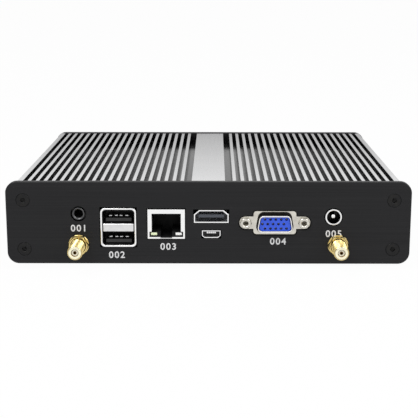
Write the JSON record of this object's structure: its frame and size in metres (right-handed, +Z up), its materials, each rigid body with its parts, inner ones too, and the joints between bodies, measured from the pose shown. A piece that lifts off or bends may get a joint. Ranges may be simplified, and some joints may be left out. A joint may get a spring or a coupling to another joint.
{
  "type": "industrial mini computer",
  "caption": "Fanless mini computer with a finned aluminium housing, two black end panels, data, video, network, audio and power ports, aerial connectors and a push button.",
  "frame": {"origin": "middle of the footprint on the surface that the feet stand on", "axes": "+Z up, +X to the right seen from the port side, the port panel faces -Y"},
  "size_m": [0.1736, 0.1564, 0.0391],
  "materials": {
    "housing": "machined bright fins over black anodised grooves",
    "panel": "satin black anodised",
    "base": "satin black",
    "screw": "black oxide",
    "inner_screw": "zinc plated",
    "rubber": "matt",
    "board": "solder mask",
    "chip": "moulded epoxy",
    "pad": "soft",
    "dark_plastic": "moulded",
    "pale_plastic": "moulded",
    "blue_plastic": "moulded",
    "lamp_green": "translucent",
    "port_steel": "nickel plated",
    "gold": "gold plated",
    "switch_steel": "turned stainless",
    "cell": "bright",
    "capacitor": "bright"
  },
  "bodies": {
    "case": {"finned_housing": "housing", "base_cover": "base", "base_screws": "screw", "rubber_feet": "rubber", "port_panel": "panel", "port_panel_screws": "screw", "power_panel": "panel", "power_panel_screws": "screw", "main_board": "board", "board_screws": "inner_screw", "processor": "chip", "thermal_pad": "pad", "memory_socket": "dark_plastic", "memory_module": "board", "storage_card": "board", "wireless_card": "board", "card_sockets": "dark_plastic", "card_posts": "inner_screw", "card_screws": "inner_screw", "cell_holder": "dark_plastic", "clock_battery": "cell", "board_chips": "chip", "capacitors": "capacitor", "inductors": "chip", "data_port_shell": "port_steel", "data_port_core": "dark_plastic", "data_port_contacts": "gold", "network_jack_shell": "port_steel", "network_jack_insert": "dark_plastic", "network_jack_contacts": "gold", "network_jack_lamps": "lamp_green", "video_port_shell": "port_steel", "video_port_core": "dark_plastic", "service_port_shell": "port_steel", "service_port_core": "dark_plastic", "service_board": "board", "service_header": "dark_plastic", "analog_port_flange": "port_steel", "analog_port_insert": "blue_plastic", "analog_port_block": "dark_plastic", "analog_port_jackscrews": "port_steel", "power_jack_body": "dark_plastic", "power_jack_sleeve": "port_steel", "power_jack_pin": "port_steel", "audio_jack_body": "dark_plastic", "audio_jack_ring": "port_steel", "antenna_connector_left": "gold", "antenna_connector_right": "gold", "antenna_insulators": "pale_plastic", "antenna_contacts": "gold", "antenna_washers": "gold", "antenna_nuts": "gold", "rear_data_shells": "port_steel", "rear_data_cores": "dark_plastic", "rear_data_contacts": "gold", "switch_body": "switch_steel", "switch_nut": "switch_steel", "status_lamps": "lamp_green"},
    "button": {"power_button": "switch_steel"}
  },
  "joints": [
    {"name": "button_press", "type": "slide", "parent": "case", "child": "button", "axis": [0, -1, 0], "range_m": [0, 0.0012], "stiffness_N_per_m": 900}
  ]
}
